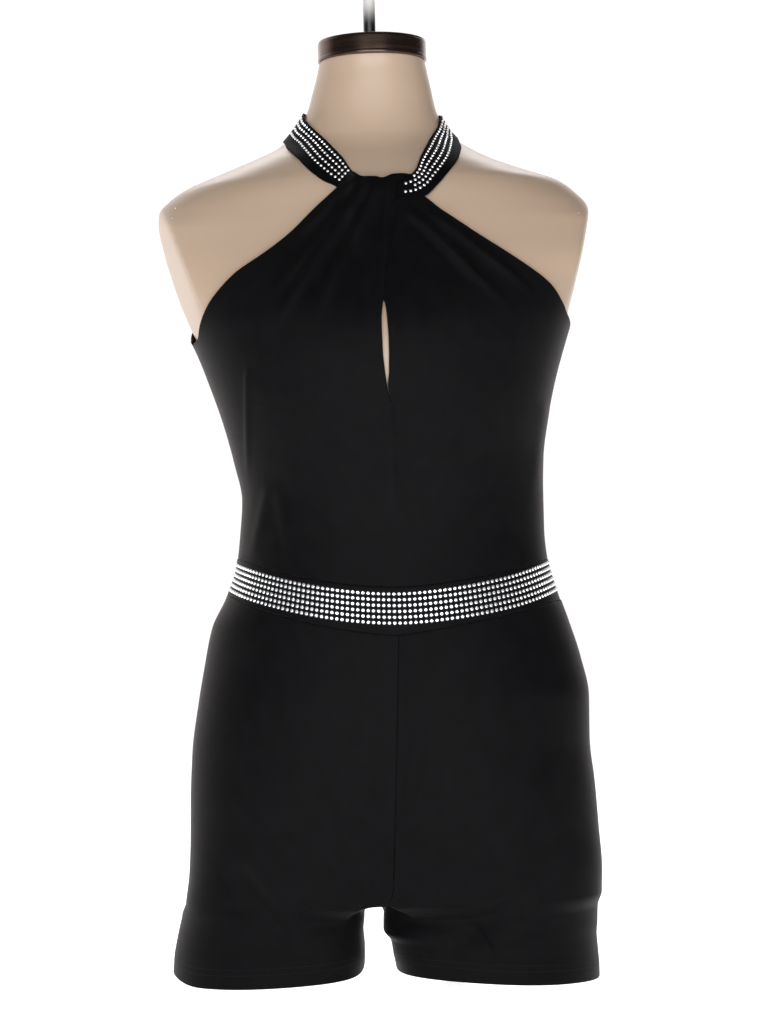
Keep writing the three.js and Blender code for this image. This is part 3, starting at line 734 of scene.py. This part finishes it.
def knit_material(name, specular, nap):
    """Black jersey: fine columns of knit loops, a soft nap and slightly uneven dye."""
    material, add, shader = new_material(name, Specular_IOR_Level=specular, Sheen_Weight=nap,
                                         Sheen_Roughness=0.42, Sheen_Tint=(0.76, 0.72, 0.74, 1))
    place = add("Attribute", attribute_name="weave").outputs["Vector"]
    split = add("SeparateXYZ", Vector=place).outputs

    def do(operation, *values):
        return add("Math", values, operation=operation)

    wale = do("MULTIPLY", split["X"], 2 * math.pi / WALE)
    course = do("MULTIPLY", split["Y"], 2 * math.pi / COURSE)
    lean = do("MULTIPLY", do("ABSOLUTE", do("SINE", wale)), 2.0)
    loops = do("SINE", do("ADD", course, lean))
    columns = do("ABSOLUTE", do("SINE", do("MULTIPLY", wale, 0.5)))
    stitches = do("ADD", do("MULTIPLY", columns, 0.7), do("MULTIPLY", loops, 0.3))
    fibre = add("TexNoise", Vector=place, Scale=2.4, Detail=4.0, Roughness=0.7)
    relief(add, shader, do("ADD", stitches, do("MULTIPLY", fibre, 0.8)), 0.35, 0.00022)
    noise = two_tones(add, shader, place, 0.05, (0.0033, 0.0032, 0.0038), (0.0046, 0.0045, 0.0053))
    uneven_gloss(add, shader, noise, 0.42, 0.50)
    return material


def thread_material():
    """Black polyester thread, a little glossier than the knit, with twisted plies."""
    material, add, shader = new_material("black_thread", Specular_IOR_Level=0.2)
    place = add("TexCoord").outputs["Object"]
    twist = add("TexWave", Vector=place, bands_direction="DIAGONAL", Scale=900.0, Distortion=1.0)
    relief(add, shader, twist.outputs["Fac"], 0.4, 0.0001)
    noise = two_tones(add, shader, place, 60.0, (0.004, 0.0037, 0.004), (0.007, 0.0065, 0.007))
    uneven_gloss(add, shader, noise, 0.5, 0.62)
    return material


def form_material():
    """Smooth moulded shell, pale beige with a soft gloss and a faint unevenness."""
    material, add, shader = new_material("form_shell", Specular_IOR_Level=0.5)
    place = add("TexCoord").outputs["Object"]
    noise = two_tones(add, shader, place, 5.0, (0.465, 0.345, 0.256), (0.52, 0.39, 0.292), detail=5.0)
    uneven_gloss(add, shader, noise, 0.33, 0.42)
    grain = add("TexNoise", Vector=place, Scale=420.0, Detail=3.0)
    relief(add, shader, grain, 0.06, 0.0004)
    return material


def metal_material(name, low, high, roughness, scale, **constants):
    """Painted or brushed metal: turned marks round Z, and tone and gloss that vary a little."""
    material, add, shader = new_material(name, **constants)
    stretched = add("Mapping", Vector=add("TexCoord").outputs["Object"], Scale=(1, 1, 40))
    noise = two_tones(add, shader, stretched, scale, low, high)
    uneven_gloss(add, shader, noise, roughness - 0.06, roughness + 0.06)
    relief(add, shader, noise, 0.15, 0.0002)
    return material


def rod_material():
    """Near-black rod whose colour turns pale towards its top: a painted highlight."""
    material, add, shader = new_material("dark_rod")
    place = add("TexCoord").outputs["Object"]
    height = add("SeparateXYZ", Vector=place).outputs["Z"]
    noise = add("TexNoise", Vector=place, Scale=120.0, Detail=3.0)
    uneven = add("Math", (noise, 0.004, height), operation="MULTIPLY_ADD")
    # Painted highlight: the base colour goes from near black at the foot to pale near the top.
    painted_highlight = add("MapRange", Value=uneven, interpolation_type="SMOOTHSTEP", From_Min=1.099, From_Max=1.13)
    tone = add("ValToRGB", Fac=painted_highlight)
    tone.color_ramp.elements[0].color = (0.012, 0.011, 0.011, 1)
    tone.color_ramp.elements[1].color = (0.85, 0.84, 0.83, 1)
    add(shader, Base_Color=tone)
    uneven_gloss(add, shader, noise, 0.3, 0.42)
    return material


def glowing_material(name, scale, low, high, detail=3.0, **constants):
    """Something nearly white that gives a little light of its own, as in an overexposed photo."""
    material, add, shader = new_material(name, Emission_Color=(1, 1, 1, 1), **constants)
    two_tones(add, shader, add("TexCoord").outputs["Object"], scale, low, high, detail)
    return material


KNIT = knit_material("black_knit", 0.04, 0.04)
BAND_KNIT = knit_material("band_knit", 0.01, 0.01)
THREAD = thread_material()
SHELL = form_material()
BRONZE = metal_material("bronze_metal", (0.058, 0.037, 0.03), (0.11, 0.072, 0.058), 0.27, 14.0,
                        Metallic=0.9)
DARK = rod_material()
PIN = metal_material("form_pin", (0.55, 0.50, 0.42), (0.75, 0.70, 0.62), 0.22, 30.0, Metallic=1.0)
# The stand glows a little though it is no lamp: painted light that fades it into the white around it.
WHITE = metal_material("white_stand", (0.78, 0.78, 0.77), (0.84, 0.84, 0.83), 0.42, 10.0,
                       Emission_Color=(1, 1, 1, 1), Emission_Strength=0.4)
# The stones glow a little though they are no lamp: a painted glint that keeps them bright white.
STONE = glowing_material("rhinestone", 260.0, (0.80, 0.83, 0.88), (0.98, 0.98, 1.0), detail=1.0,
                         Metallic=1.0, Roughness=0.24, Emission_Strength=0.3)
FLOOR = glowing_material("studio_floor", 2.0, (0.93, 0.93, 0.93), (0.95, 0.95, 0.95),
                         Roughness=0.8, Specular_IOR_Level=0.2, Emission_Strength=0.9)


# ---- dress form ----

FORM_COLUMNS = 200
FORM_HEIGHTS = np.concatenate([
    np.linspace(FORM_BOTTOM, 860, 110, endpoint=False),
    np.linspace(860, 1000, 70, endpoint=False),
    np.linspace(1000, NECK_TOP, 18),
])


def plate_plane(plate):
    """A point on an arm plate's outer plane and the plane's normal."""
    normal = Vector((plate.side, 0, -plate.slope)).normalized()
    normal.rotate(Matrix.Rotation(math.radians(plate.turn), 3, "Z"))
    return Vector((plate.side * plate.reach, 0, PLATE_HEIGHT)), normal


def flattened(points, plate):
    """Points with those beyond an arm plate's plane drawn in to it, in a soft bend."""
    place, normal = (np.array(v) for v in plate_plane(plate))
    depth = (points - place) @ normal
    bent = -PLATE_ROUNDING * np.exp(-np.maximum(depth + PLATE_ROUNDING, 0) / PLATE_ROUNDING)
    share = ease((points[:, 2] - BEND_FOOT) / BEND_RISE)
    move = np.where(depth > -PLATE_ROUNDING, bent - depth, 0) * share
    return points + move[:, None] * normal


def form_mesh():
    """The whole form with flat ends at its arms, as a bmesh in metres."""
    angles = np.arange(FORM_COLUMNS) / FORM_COLUMNS * 360
    angle, z = np.meshgrid(angles, FORM_HEIGHTS)
    points = section_point(FORM(z), angle, z).reshape(-1, 3)
    for plate in PLATES:
        points = flattened(points, plate)
    shape = bmesh.new()
    vertices = [shape.verts.new(p) for p in points * MM]
    for quad in ring_quads(len(FORM_HEIGHTS), FORM_COLUMNS):
        shape.faces.new([vertices[k] for k in quad])
    shape.faces.new(vertices[FORM_COLUMNS - 1::-1])
    shape.faces.new(vertices[-FORM_COLUMNS:])
    return shape


def cut(shape, point, normal, foot=0):
    """Cuts away what lies beyond a plane, above the foot, and closes the cut. All in millimetres."""
    faces = [f for f in shape.faces if min(v.co.z for v in f.verts) >= foot * MM]
    edges = dict.fromkeys(e for f in faces for e in f.edges)
    verts = dict.fromkeys(v for f in faces for v in f.verts)
    found = bmesh.ops.bisect_plane(shape, geom=[*faces, *edges, *verts], dist=1e-6,
                                   plane_co=point * MM, plane_no=normal, clear_outer=True)
    rim = [e for e in found["geom_cut"] if isinstance(e, bmesh.types.BMEdge)]
    bmesh.ops.contextual_create(shape, geom=rim)


def finish_bmesh(name, shape, material, bevel=None):
    """Turns a bmesh into an object, with its sharp edges rounded if a bevel is given."""
    if bevel:
        sharp = [e for e in shape.edges if len(e.link_faces) == 2 and e.calc_face_angle() > SHARP]
        bmesh.ops.bevel(shape, geom=sharp, offset=bevel * MM, segments=3, profile=0.5, affect="EDGES",
                        clamp_overlap=True)
    bmesh.ops.recalc_face_normals(shape, faces=shape.faces)
    mesh = bpy.data.meshes.new(name)
    shape.to_mesh(mesh)
    shape.free()
    return add_object(name, mesh, material)


def build_form():
    torso = form_mesh()
    for plate in PLATES:
        point, normal = plate_plane(plate)
        shape = form_mesh()
        cut(shape, Vector((0, 0, PLATE_FOOT)), Vector((0, 0, -1)))
        cut(shape, point - normal * PLATE_THICK, -normal)
        piece = finish_bmesh(f"arm_plate_{plate.name}", shape, SHELL, FORM_BEVEL)
        hard_piece(piece, "form_shell", f"form_arm_plate_{plate.name}")
        cut(torso, point - normal * (PLATE_THICK + SEAM), normal, foot=PLATE_FOOT)
    piece = finish_bmesh("torso", torso, SHELL, FORM_BEVEL)
    hard_piece(piece, "form_shell", "form_torso")


def build_cap_and_rod():
    low, high = (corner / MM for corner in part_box("form_neck_cap"))
    radius, dome, lip = high.x, 4.2, 0.25
    wall = high.z - low.z - dome
    profile = [(0, 0), (radius + lip, 0), (radius + lip, 3), (radius, 3.8), (radius, wall - 2.6),
               (radius - 0.5, wall - 2.2), (radius - 0.6, wall), (radius * 0.6, wall + dome * 0.6),
               (0, wall + dome)]
    cap = lathe("neck_cap", profile, 1.2, BRONZE, at=(0, 0, low.z))
    hard_piece(cap, "bronze_metal", "form_neck_cap")
    low, high = (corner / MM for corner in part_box("form_top_rod"))
    middle, radius, length = (low + high) / 2, (high.x - low.x) / 2, high.z - low.z
    profile = [(0, 0), (radius, 0), (radius, length), (0, length)]
    rod = lathe("top_rod", profile, 1.5, DARK, 48, (middle.x, middle.y, low.z))
    hard_piece(rod, "dark_rod", "form_top_rod")


def build_stand():
    low, high = (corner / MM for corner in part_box("stand_base"))
    profile = [(0, 0), (high.x, 0), (high.x, high.z), (0, high.z)]
    base = lathe("stand_plate", profile, 2, WHITE, 160)
    hard_piece(base, "white_stand", "stand_base")
    low, high = (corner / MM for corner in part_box("stand_pole"))
    foot, length, middle = (high.x - low.x) / 2, high.z - low.z, (low + high) / 2
    radius, flange, collar = 9.5, 5, foot - 4
    profile = [(0, 0), (foot, 0), (foot, flange), (radius, flange * 2), (radius, length - flange),
               (collar, length - flange), (collar, length), (0, length)]
    pole = lathe("stand_post", profile, 1.5, WHITE, 64, (middle.x, middle.y, low.z))
    hard_piece(pole, "white_stand", "stand_pole")


# ---- bodice ----

def lap_lift(angle, z):
    """The left lobe rides over the right one beyond the right one's hidden edge."""
    above = ease((z - LAP_FOOT) / LAP_RISE)
    beyond = ease((angle - RIGHT_LOBE_EDGE(z).angle + LAP_BEYOND) / LAP_TURN)
    return LAP_LIFT * above * beyond


TOP_ROUNDS = 40     # rounds of the search for the height of a lobe's upper edge


def lobe(columns, rows, edge, side_angle, free_edge, lift):
    """One of the two gathered halves, from its side seam to its free edge."""
    flip = side_angle > 0

    def point_at(u, v):
        column = 1 - u if flip else u
        top = np.full_like(column, SLIT_BOTTOM)
        for _ in range(TOP_ROUNDS):
            top = mix(top, edge(mix(side_angle, free_edge(top).angle, column)).z, 0.5)
        z = mix(SLIT_BOTTOM, top, v)
        angle = mix(side_angle, free_edge(z).angle, column)
        return cloth_point(angle, z, lift(angle, z))

    return grid_sheet(columns, rows, point_at)


def build_front_bodice():
    half, belly_rows, lobe_rows = 84, 70, 110
    middle = float(LEFT_LOBE_EDGE(SLIT_BOTTOM).angle)

    def belly_point(u, v):
        angle = mix_through(-SIDE_ANGLE, middle, SIDE_ANGLE, u)
        return cloth_point(angle, mix(waist_edge(WAIST_TOP_EDGE, angle) - WAIST_TUCK, SLIT_BOTTOM, v))

    belly = grid_sheet(2 * half, belly_rows, belly_point)
    left = lobe(half, lobe_rows, LEFT_LOBE_TOP, -SIDE_ANGLE, LEFT_LOBE_EDGE, lap_lift)
    right = lobe(half, lobe_rows, RIGHT_LOBE_TOP, SIDE_ANGLE, RIGHT_LOBE_EDGE, lambda angle, z: 0)
    cloth_piece("bodice_front", join_sheets(belly, left, right), "front_bodice")


def signed(turn):
    """An angle from -180 to 180."""
    return np.where(turn > 180, turn - 360, turn)


def build_back_bodice():
    def point_at(u, v):
        angle = signed(mix(180 - SIDE_ANGLE, 180 + SIDE_ANGLE, u))
        low = waist_edge(WAIST_TOP_EDGE, angle) - WAIST_TUCK
        return cloth_point(angle, mix(low, BACK_TOP(np.abs(angle)).z, v))

    cloth_piece("bodice_back", grid_sheet(120, 130, point_at), "back_bodice")


def neck_point(at, share, lift=0.0):
    """A point on the neck band: along it from 0 to 100, and across it from 0 to 1."""
    row = NECK_BAND(at)
    angle = mix(row.low_angle, row.top_angle, share)
    z = mix(row.low_z, row.top_z, share) + SEAM
    return cloth_point(angle, z, row.lift - row.hug * share + lift)


def build_neck_band():
    sheet = grid_sheet(260, 20, lambda u, v: neck_point(100 * (1 - u), v))
    cloth_piece("halter_band", sheet, "neck_band",
                material=BAND_KNIT)


def waist_point(angle, share, lift=0.0):
    """A point on the waistband, whose share of its height goes from 0 to 1."""
    low = waist_edge(WAIST_LOW_EDGE, angle)
    return cloth_point(angle, mix(low, waist_edge(WAIST_TOP_EDGE, angle), share), BAND_LIFT + lift)


def build_waistband(name, node, start, middle, end):
    def point_at(u, v):
        return waist_point(signed(mix_through(start, middle, end, u)), v)

    cloth_piece(name, grid_sheet(180, 18, point_at), node,
                thickness=CLOTH + BAND_LIFT)


# ---- shorts ----

# Columns of a panel, and its rows above the crotch, round its turn and down the leg.
PANEL = SimpleNamespace(columns=108, upper=84, turn=14, leg=54)
SPLIT = 78 / PANEL.columns   # share of a panel's columns outside the leg's inner corner


def leg_point(leg, angle, z):
    row = leg.rows(z)
    sine, cosine = np.sin(np.radians(angle)), np.cos(np.radians(angle))
    inner = sine * leg.side < 0
    half_width = np.abs(np.where(inner, row.inner, row.outer) - leg.centre)
    depth = np.where(cosine > 0, row.front, row.back)
    r = reach(sine, cosine, half_width, depth, np.where(inner, leg.inner_power, OUTER_POWER))
    return vector(leg.centre + r * sine, -r * cosine, z)


def leg_angle(leg, x, y):
    return np.degrees(np.arctan2(x - leg.centre, -y))


def creased(point):
    """Moves a point of the shorts out or in by the folds that cross it."""
    out = unit(point * (1, 1, 0))
    return point + out * fold_height(point)[..., None]


def shorts_panel(leg, face):
    """One of the four panels, from the waistband to the hem and from side seam to middle seam."""
    side = leg.side

    def side_gap(u):
        """Half the gap at the side seam, which fades over a quarter of the panel."""
        return face * SEAM / 2 * np.maximum(0, 1 - u * 4)

    def beyond(u):
        """Share of the way from the leg's inner corner to the middle seam."""
        return (u - SPLIT) / (1 - SPLIT)

    def upper_point(u, z):
        section = SHORTS(z)
        depth = section.front if face < 0 else section.back
        corner_x = leg.rows(CROTCH).inner + side * CORNER_SPREAD * ease((z - CROTCH) / SPREAD_HEIGHT)
        seam_x = depth * np.tan(np.radians(FRONT_SEAM(z).angle)) + side * SEAM / 2
        corner = np.degrees(np.arctan2(corner_x, depth))
        seam = np.degrees(np.arctan2(seam_x, depth))
        angle = np.where(u < SPLIT, mix(side * 90, corner, u / SPLIT), mix(corner, seam, beyond(u)))
        point = section_point(section, angle if face < 0 else side * 180 - angle, z)
        point[..., 1] += side_gap(u)
        return point

    turn_end = CROTCH - CROTCH_DROP

    def above_angle(u):
        above = upper_point(u, CROTCH)
        return leg_angle(leg, above[..., 0], above[..., 1])

    def nearest(angle, to):
        return angle + 360 * np.round((to - angle) / 360)

    corner_angle = above_angle(np.array(SPLIT))
    inseam_angle = leg_angle(leg, leg.rows(turn_end).inner, INSEAM_Y + face * SEAM / 2)

    def ring_angle(u):
        return np.where(u <= SPLIT, above_angle(u),
                        mix(corner_angle, nearest(inseam_angle, corner_angle), beyond(u)))

    def turn_point(u, s):
        start = upper_point(u, CROTCH)
        ring = leg_point(leg, ring_angle(u), turn_end)
        t = np.maximum(0, beyond(u))
        end_x = mix(ring[..., 0], side * SEAM / 2 - STRIP_X, t**10)
        end_y = ring[..., 1] + side_gap(u)
        end_z = mix(turn_end, CROTCH_STRIP, 1 - (1 - np.minimum(t, 1)) ** 3)
        return vector(mix(start[..., 0], end_x, ease(s)), mix(start[..., 1], end_y, ease(s)),
                      mix(CROTCH, end_z, s))

    def lower_point(u, d):
        angle = ring_angle(u)
        z = mix(turn_end, leg.hem(-side * nearest(angle, 0)).z, d)
        point = leg_point(leg, angle, z)
        point[..., 1] += side_gap(u)
        return point

    rows = PANEL.upper + PANEL.turn + PANEL.leg

    def point_at(across, up):
        u = across if side * face > 0 else 1 - across
        row = (1 - up) * rows
        guess = upper_point(u, WAIST_LOW_EDGE.front)
        top = waist_edge(WAIST_LOW_EDGE, np.degrees(np.arctan2(guess[..., 0], -guess[..., 1])))
        top = top + WAIST_TUCK
        upper = upper_point(u, mix(top, CROTCH, np.minimum(row / PANEL.upper, 1)))
        turn = turn_point(u, np.clip((row - PANEL.upper) / PANEL.turn, 0, 1))
        turned = PANEL.upper + PANEL.turn
        lower = lower_point(u, np.clip((row - turned) / PANEL.leg, 0, 1))
        row = row[..., None]
        return creased(np.where(row <= PANEL.upper, upper, np.where(row <= turned, turn, lower)))

    sheet = grid_sheet(PANEL.columns, rows, point_at)
    # Down the inseam the front and back walls are one surface, so neither leans into the other.
    inseam = PANEL.columns if side * face > 0 else 0
    at = np.arange(PANEL.leg + 1) * (PANEL.columns + 1) + inseam
    sheet.normals[at] = unit(sheet.normals[at] * (1, 0, 1))
    return sheet


def build_shorts():
    sheets = []
    for leg_name, leg in LEGS.items():
        for face_name, face in (("front", -1), ("back", 1)):
            sheets.append(shorts_panel(leg, face))
            node = f"shorts_{face_name}_{leg_name}"
            cloth_piece(node + "_panel", sheets[-1], node)
    return sheets


# ---- rhinestones ----

ROW_SAMPLES, WAIST_SAMPLES, HEM_SAMPLES = 900, 2400, 2000   # points that a curve is measured by


def scattered(name, points, faces, rows, material, smooth=True):
    """Copies of a small shape as one mesh. Each row gives their places, the ways in which their
    X lies along the surface and the ways in which their Z stands out of it."""
    places, along, out = (np.vstack(part) for part in zip(*rows))
    axes = np.stack([along, unit(np.cross(out, along)), out], axis=1)
    vertices = places[:, None] + np.einsum("vk,nkc->nvc", points, axes)
    index = faces[None] + (np.arange(len(places)) * len(points))[:, None, None]
    return make_mesh(name, vertices.reshape(-1, 3), index.reshape(-1, faces.shape[1]).tolist(),
                     material, smooth)


def stone_template():
    """A round cut stone with a table, eight crown facets and a girdle, as triangles."""
    levels = [(1.0, 0.0, 0.0), (1.0, 0.45, 0.5), (0.52, 1.35, 0.0)]   # radius share, height, turn
    points = []
    for share, height, turn in levels:
        for k in range(8):
            a = (k + turn) / 8 * 2 * math.pi
            r = STONE_RADIUS * share
            points.append((r * math.cos(a), r * math.sin(a), height))
    points.append((0, 0, levels[-1][1]))
    faces = []
    for a, b, c, d in ring_quads(3, 8):
        faces += [(a, b, d), (b, c, d)] if a < 8 else [(a, c, d), (a, b, c)]
    faces += [(16 + k, 16 + (k + 1) % 8, 24) for k in range(8)]
    return np.array(points), np.array(faces)


def even_places(curve, pitch):
    """Where points at an even pitch lie along a curve, as shares of it."""
    run = np.concatenate([[0], np.cumsum(np.linalg.norm(np.diff(curve, axis=0), axis=1))])
    count = round(run[-1] / pitch)
    return np.interp((np.arange(count) + 0.5) / count * run[-1], run, np.linspace(0, 1, len(curve)))


def ways(point_at, at, step):
    """Points on a surface, the way along it from each and the way out of it."""
    here, ahead, above = point_at(at, 0), point_at(at + step, 0), point_at(at, 1)
    along = unit(ahead - here)
    return here, along, unit(np.cross(along, above - here))


def build_stones():
    points, faces = stone_template()
    rows = []
    for name, end in NECK_ROW_ENDS.items():
        def band_point(at, higher):
            return neck_point(at, getattr(NECK_ROWS(at), name) + 0.05 * higher)
        fine = band_point(np.linspace(NECK_ROW_START, end, ROW_SAMPLES), 0)
        at = mix(NECK_ROW_START, end, even_places(fine, STONE_PITCH))
        rows.append(ways(band_point, at, -0.2))
    stones = scattered("neck_stones", points * NECK_STONE_SHARE, faces, rows, STONE, smooth=False)
    hard_piece(stones, "rhinestone")

    rows = []
    fine = waist_point(np.linspace(-180, 180, WAIST_SAMPLES), 0.5)
    columns = mix(-180, 180, even_places(fine, STONE_PITCH))
    for k in range(STONE_ROWS):
        def waist_row(angle, higher):
            spacing = STONE_SPACING(angle)
            height = waist_edge(WAIST_TOP_EDGE, angle) - waist_edge(WAIST_LOW_EDGE, angle)
            return waist_point(angle, 1 - (spacing.margin + spacing.row * k - higher) / height)
        rows.append(ways(waist_row, columns, 0.2))
    hard_piece(scattered("waist_stones", points, faces, rows, STONE, smooth=False), "rhinestone")


# ---- stitches and pins ----

STITCH_PITCH, STITCH_LENGTH, STITCH_RADIUS = 3.4, 2.6, 0.28


def stitch_template():
    """One stitch: a thread that comes up out of the cloth, lies along X and goes down again."""
    points = []
    for share, size in ((-1, 0.3), (-0.72, 0.85), (0, 1), (0.72, 0.85), (1, 0.3)):
        for turn in np.arange(6) / 6 * 2 * math.pi:
            points.append((STITCH_LENGTH / 2 * share, STITCH_RADIUS * size * math.sin(turn),
                           STITCH_RADIUS * (size * math.cos(turn) - 0.5 * share**4)))
    return np.array(points), np.array(ring_quads(5, 6))


def build_hem_stitches(sheets):
    """Two rows of stitches round each leg, above the hem."""
    points, faces = stitch_template()
    rows = []
    for sheet in sheets:
        grid = sheet.points.reshape(*sheet.size, 3)
        normals = sheet.normals.reshape(*sheet.size, 3)
        run = np.cumsum(np.linalg.norm(np.diff(grid, axis=0), axis=-1), axis=0)
        for height in HEM_ROWS:
            row = np.minimum((run < height).sum(0), sheet.size[0] - 2)
            column = np.arange(sheet.size[1])
            here, above, after = grid[row, column], grid[row + 1, column], run[row, column]
            before = after - np.linalg.norm(above - here, axis=-1)
            curve = mix(here, above, ((height - before) / (after - before))[:, None])
            fine = np.linspace(0, len(curve) - 1, HEM_SAMPLES)
            curve, out = (np.stack([np.interp(fine, column, part[:, k]) for k in range(3)], axis=1)
                          for part in (curve, normals[row, column]))
            at = (even_places(curve, STITCH_PITCH) * (len(curve) - 2)).astype(int)
            rows.append((curve[at], unit(curve[at + 1] - curve[at]), unit(out[at])))
    hard_piece(scattered("hem_stitches", points, faces, rows, THREAD), "black_thread")


# Heads of the small pins by which the shell is put together, as seen from the front.
PIN_RADIUS = 0.9
PINS = records("x z", """
-207 905
-210 895
209 890
""")


def build_pins():
    shape = bmesh.new()
    for pin in PINS:
        section = FORM(pin.z)
        angles = np.linspace(0, 89.9, 900) * math.copysign(1, pin.x)
        front = section_point(section, angles, pin.z)
        place = front[np.argmin(np.abs(front[:, 0] - pin.x))] * MM
        bmesh.ops.create_uvsphere(shape, u_segments=16, v_segments=10, radius=PIN_RADIUS * MM,
                                  matrix=Matrix.Translation(Vector(place)))
    hard_piece(finish_bmesh("shell_pins", shape, PIN), "steel_pin")


# ---- stage, lights and camera ----

def build_stage():
    bpy.ops.mesh.primitive_circle_add(vertices=128, radius=4.5, fill_type="NGON", location=(0, 0, 0))
    floor = bpy.context.object
    floor.name = "studio_floor"
    floor.data.materials.append(FLOOR)


def area_light(name, location, target, size, power):
    light = bpy.data.lights.new(name, "AREA")
    light.shape = "RECTANGLE"
    light.size, light.size_y = size
    light.energy = power
    lamp = bpy.data.objects.new(name, light)
    lamp.location = location
    lamp.rotation_euler = (Vector(target) - Vector(location)).to_track_quat("-Z", "Y").to_euler()
    bpy.context.scene.collection.objects.link(lamp)


def build_world():
    """White to the camera; for light, bright behind the object and dim on the camera's side."""
    world = bpy.data.worlds.new("studio")
    bpy.context.scene.world = world
    world.use_nodes = True
    world.node_tree.nodes.clear()
    add = adder(world.node_tree)
    to_back = (-0.3, 0.954, 0)      # and a little to the left
    behind = add("VectorMath", (add("TexCoord").outputs["Generated"], to_back), operation="DOT_PRODUCT")
    spread = add("MapRange", Value=behind.outputs["Value"], interpolation_type="SMOOTHSTEP",
                 From_Min=0.30, From_Max=0.72, To_Min=0.05, To_Max=1.7)
    light = add("Background", Color=(1, 0.94, 0.91, 1), Strength=spread)
    white = add("Background", Color=(1, 1, 1, 1), Strength=1.05)
    seen = add("LightPath").outputs["Is Camera Ray"]
    add("OutputWorld", Surface=add("MixShader", (seen, light, white)))


def build_lights():
    area_light("front_left_box", (-0.6, -2.6, 0.85), (0, 0, 0.62), (1.0, 0.9), 25)
    area_light("front_right_box", (0.7, -2.6, 0.85), (0, 0, 0.62), (1.0, 0.9), 23)
    area_light("top_back_box", (0, 1.5, 2.7), (0, 0, 0.95), (2.2, 1.0), 27)


def build_camera():
    """Level with the hips, 2.77 m away, tilted up and rolled a little."""
    height, distance, pitch, roll = 0.540, 2.767, 0.96, 1.5
    data = bpy.data.cameras.new("camera")
    data.lens, data.sensor_width = 92.64, 36
    camera = bpy.data.objects.new("camera", data)
    camera.matrix_world = (Matrix.Translation((0, -distance, height))
                           @ Matrix.Rotation(math.radians(90 + pitch), 4, "X")
                           @ Matrix.Rotation(math.radians(-roll), 4, "Z"))
    bpy.context.scene.collection.objects.link(camera)
    bpy.context.scene.camera = camera
    bpy.context.scene.view_settings.view_transform = "Standard"


build_form()
build_cap_and_rod()
build_stand()
build_front_bodice()
build_back_bodice()
build_neck_band()
build_waistband("waistband_front_piece", "waistband_front", -SIDE_ANGLE, WAIST_POINT, SIDE_ANGLE)
build_waistband("waistband_back_piece", "waistband_back", 180 - SIDE_ANGLE, 180, 180 + SIDE_ANGLE)
build_stones()
build_hem_stitches(build_shorts())
build_pins()
build_stage()
build_world()
build_lights()
build_camera()
